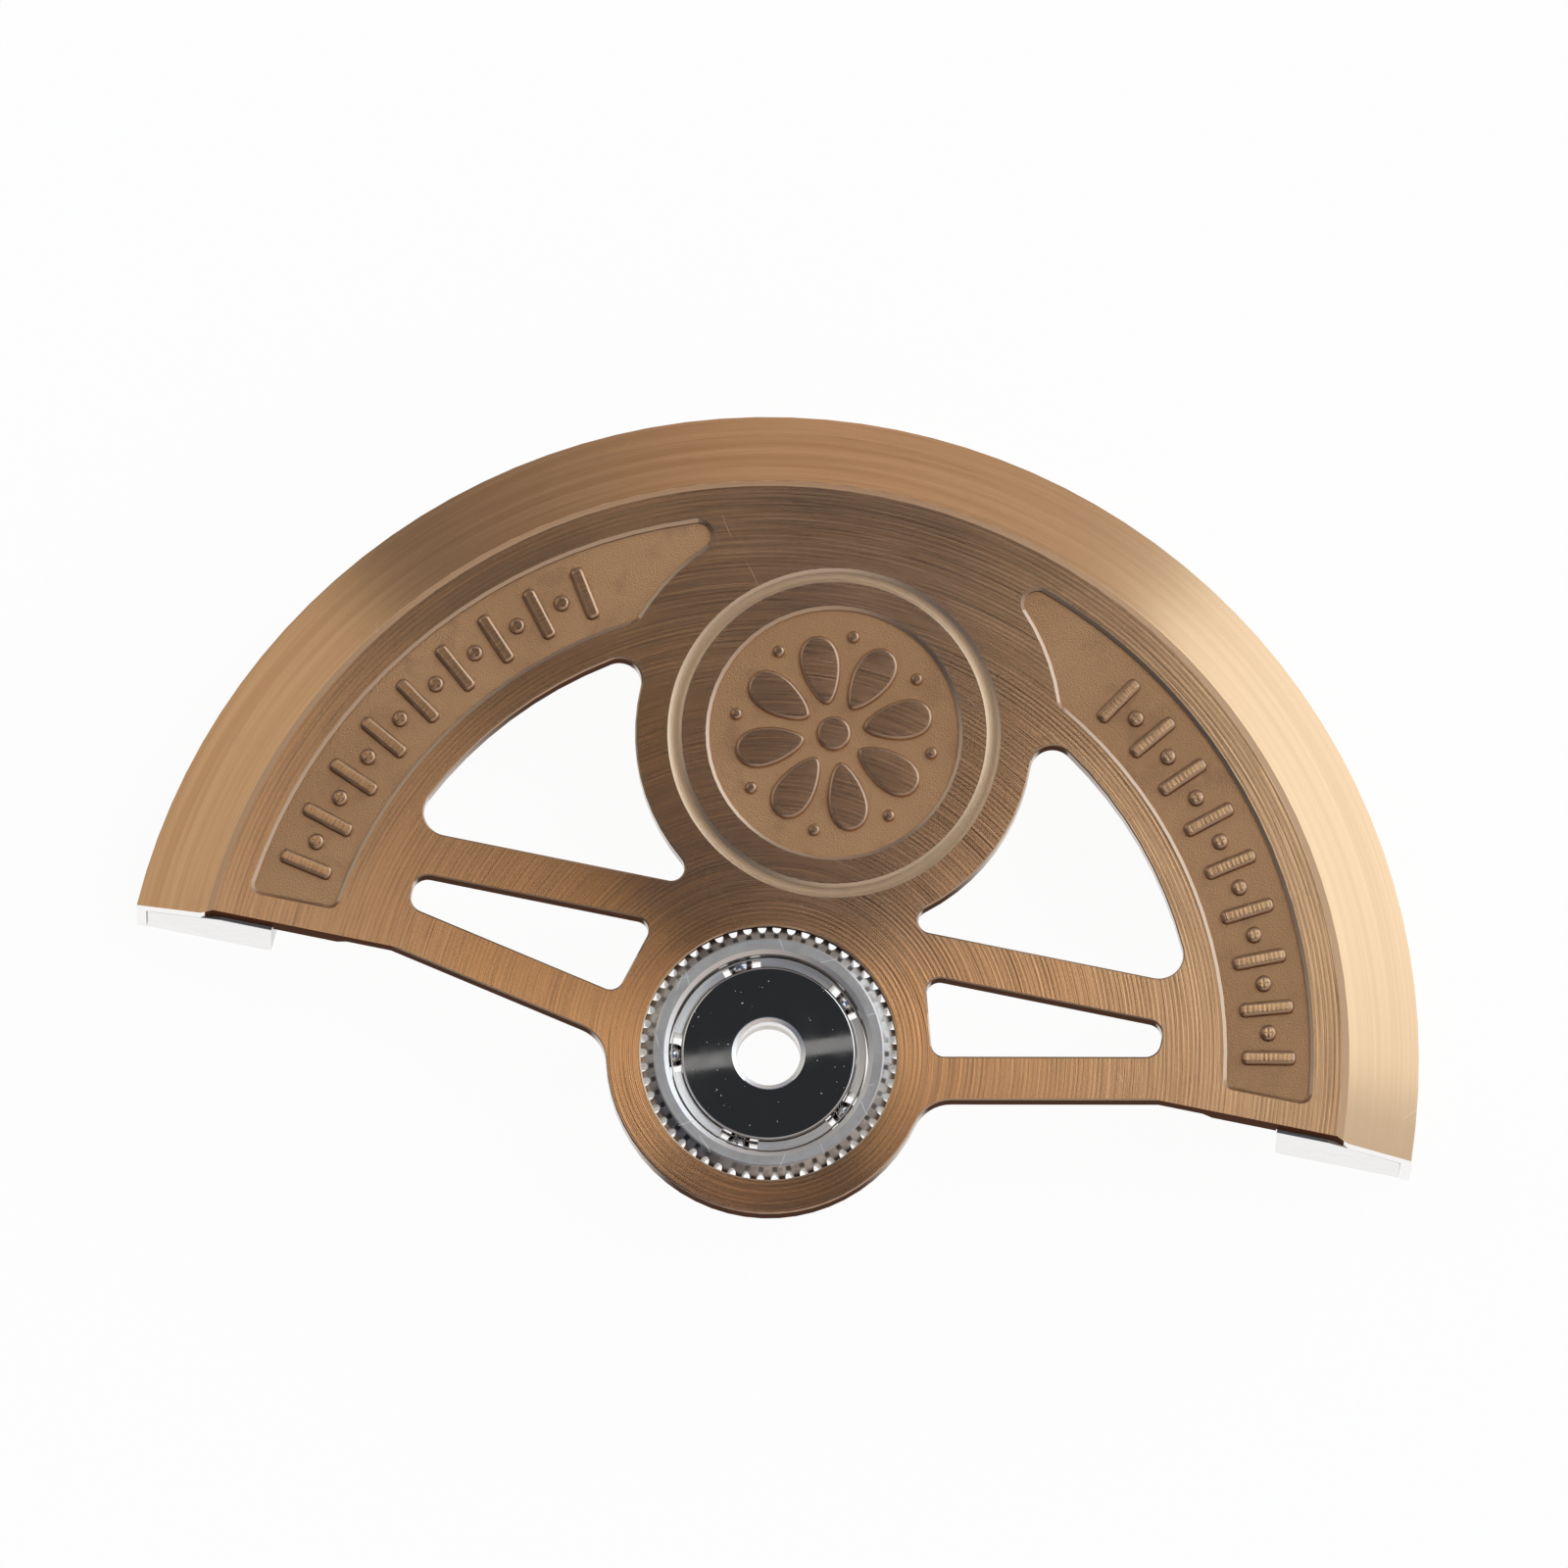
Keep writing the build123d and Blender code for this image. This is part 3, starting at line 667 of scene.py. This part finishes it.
hub = Vector((0, 0, face_height))
turn, tilt, lean = math.radians(11.5), math.radians(8.5), math.radians(0.38)
spin = Matrix(((math.cos(turn), math.sin(turn), 0), (-math.sin(turn), math.cos(turn), 0), (0, 0, 1)))
nod = Matrix(((1, 0, 0), (0, math.cos(tilt), math.sin(tilt)), (0, -math.sin(tilt), math.cos(tilt))))
roll = Matrix(((math.cos(lean), 0, math.sin(lean)), (0, 1, 0), (-math.sin(lean), 0, math.cos(lean))))
view = roll @ nod @ spin
mirrored = Vector((-view[2][0], -view[2][1], view[2][2]))

world = bpy.data.worlds.new("studio")
bpy.context.scene.world = world
world.use_nodes = True
sky = Nodes(world.node_tree)
direction = sky.add("TexCoord", out=0)


def towards(x, y, z):
    """How far the direction looks this way: 1 straight along it, 0 across it."""
    return sky.add("VectorMath", {"operation": "DOT_PRODUCT"}, {0: direction, 1: (x, y, z)}, out=1)


middle_ahead = 0.148
right, ahead, up = towards(*spin[0]), towards(*spin[1]) - middle_ahead, towards(0, 0, 1)
from_middle = (right * right + ahead * ahead) ** 0.5
sine = ahead / (from_middle + 1e-6)
outside = from_middle.step(0.03, 0.14)
in_right = (right * 1.15 - ahead).step(-0.005, 0.030) * sine.step(-0.75, 0.25) * outside
in_left = (right * -1.2 - ahead).step(-0.010, 0.025) * sine.step(-0.5, 0.2) * outside
left_of_middle = (right * -1.0).math("MAXIMUM", 0.0)
far_part = (0.53 - left_of_middle * 0.90) * from_middle.step(0.56, 0.74)
overhead = 1.0 - from_middle.step(0.45, 0.70)
aslant = ((right * -0.42 + ahead * 0.91) / (from_middle + 1e-6)).math("ABSOLUTE").step(0.72, 0.98)
above_table = 0.18 + up.step(-0.02, 0.38) * 0.82
near_light = sky.blend(aslant * overhead, (0.078, 0.094, 0.132, 1), (0.15, 0.185, 0.25, 1))
around_light = sky.blend(far_part, near_light, (1.095, 0.95, 0.84, 1))
around_light = sky.blend(above_table, (0.0, 0.0, 0.0, 1), around_light)
left_light = sky.blend(above_table, (0.0, 0.0, 0.0, 1), (0.66, 0.64, 0.60, 1))
left_light = sky.blend(overhead, left_light, (0.86, 0.84, 0.80, 1))
right_light = sky.blend(overhead, (1.30, 1.42, 1.56, 1), (1.80, 1.96, 2.10, 1))
shine = sky.blend(in_left, around_light, left_light)
shine = sky.blend(in_right, shine, right_light)
lens_part = 1.0 - towards(*mirrored).step(0.992, 0.998)
shine = sky.blend(lens_part, (0.029, 0.031, 0.034, 1), shine)
soft = sky.add("Background", values={"Color": shine, "Strength": 1.0})
plain = sky.add("Background", values={"Color": (1, 1, 1, 1), "Strength": 1.0})
sky.add("OutputWorld", values={0: sky.add("MixShader", values={0: sky.add("LightPath"), 1: soft, 2: plain})})


def lamp(name, azimuth, elevation, distance, size, radiance, along):
    """An area lamp that faces the hub, from this azimuth and this elevation in degrees, with its
    long side this way."""
    a, e = math.radians(azimuth), math.radians(elevation)
    ray = Vector((math.cos(a) * math.cos(e), math.sin(a) * math.cos(e), math.sin(e)))
    data = bpy.data.lights.new(name, "AREA")
    data.shape, data.size, data.size_y = "RECTANGLE", size[0], size[1]
    data.energy = radiance * math.pi * size[0] * size[1]
    piece = bpy.data.objects.new(name, data)
    up = ray.cross(along).normalized()
    across = up.cross(ray)
    piece.matrix_world = Matrix.Translation(hub + ray * distance) @ Matrix((across, up, ray)).transposed().to_4x4()
    bpy.context.scene.collection.objects.link(piece)


mirror_azimuth = math.degrees(math.atan2(mirrored.y, mirrored.x))
mirror_elevation = math.degrees(math.asin(mirrored.z))
slim_way = math.radians(19)
lamp("slim", mirror_azimuth, mirror_elevation, distance=0.30, size=(0.06, 0.00036), radiance=0.25,
     along=Vector((math.cos(slim_way), math.sin(slim_way), 0)))


# Camera
# It looks down on the rotor from the front at about 81 degrees, a metre and a half away.

picture_width, pixels_per_metre, distance, sensor = 1600, 50330.0, 1.5, 36.0
aim_right, aim_up = 0.3174e-3, 5.515e-3
aim = hub + aim_right * Vector(spin[0]) + aim_up * Vector(spin[1])
station = hub + distance * Vector(view[2])
back = (station - aim).normalized()
side = Vector(view[1]).cross(back).normalized()
camera_data = bpy.data.cameras.new("camera")
camera_data.sensor_width = sensor
camera_data.lens = pixels_per_metre * distance * sensor / picture_width
camera_data.clip_start, camera_data.clip_end = 0.1, 20.0
camera = bpy.data.objects.new("camera", camera_data)
camera.matrix_world = Matrix.Translation(station) @ Matrix((side, back.cross(side), back)).transposed().to_4x4()
bpy.context.scene.collection.objects.link(camera)
bpy.context.scene.camera = camera
bpy.context.scene.view_settings.view_transform = "Standard"
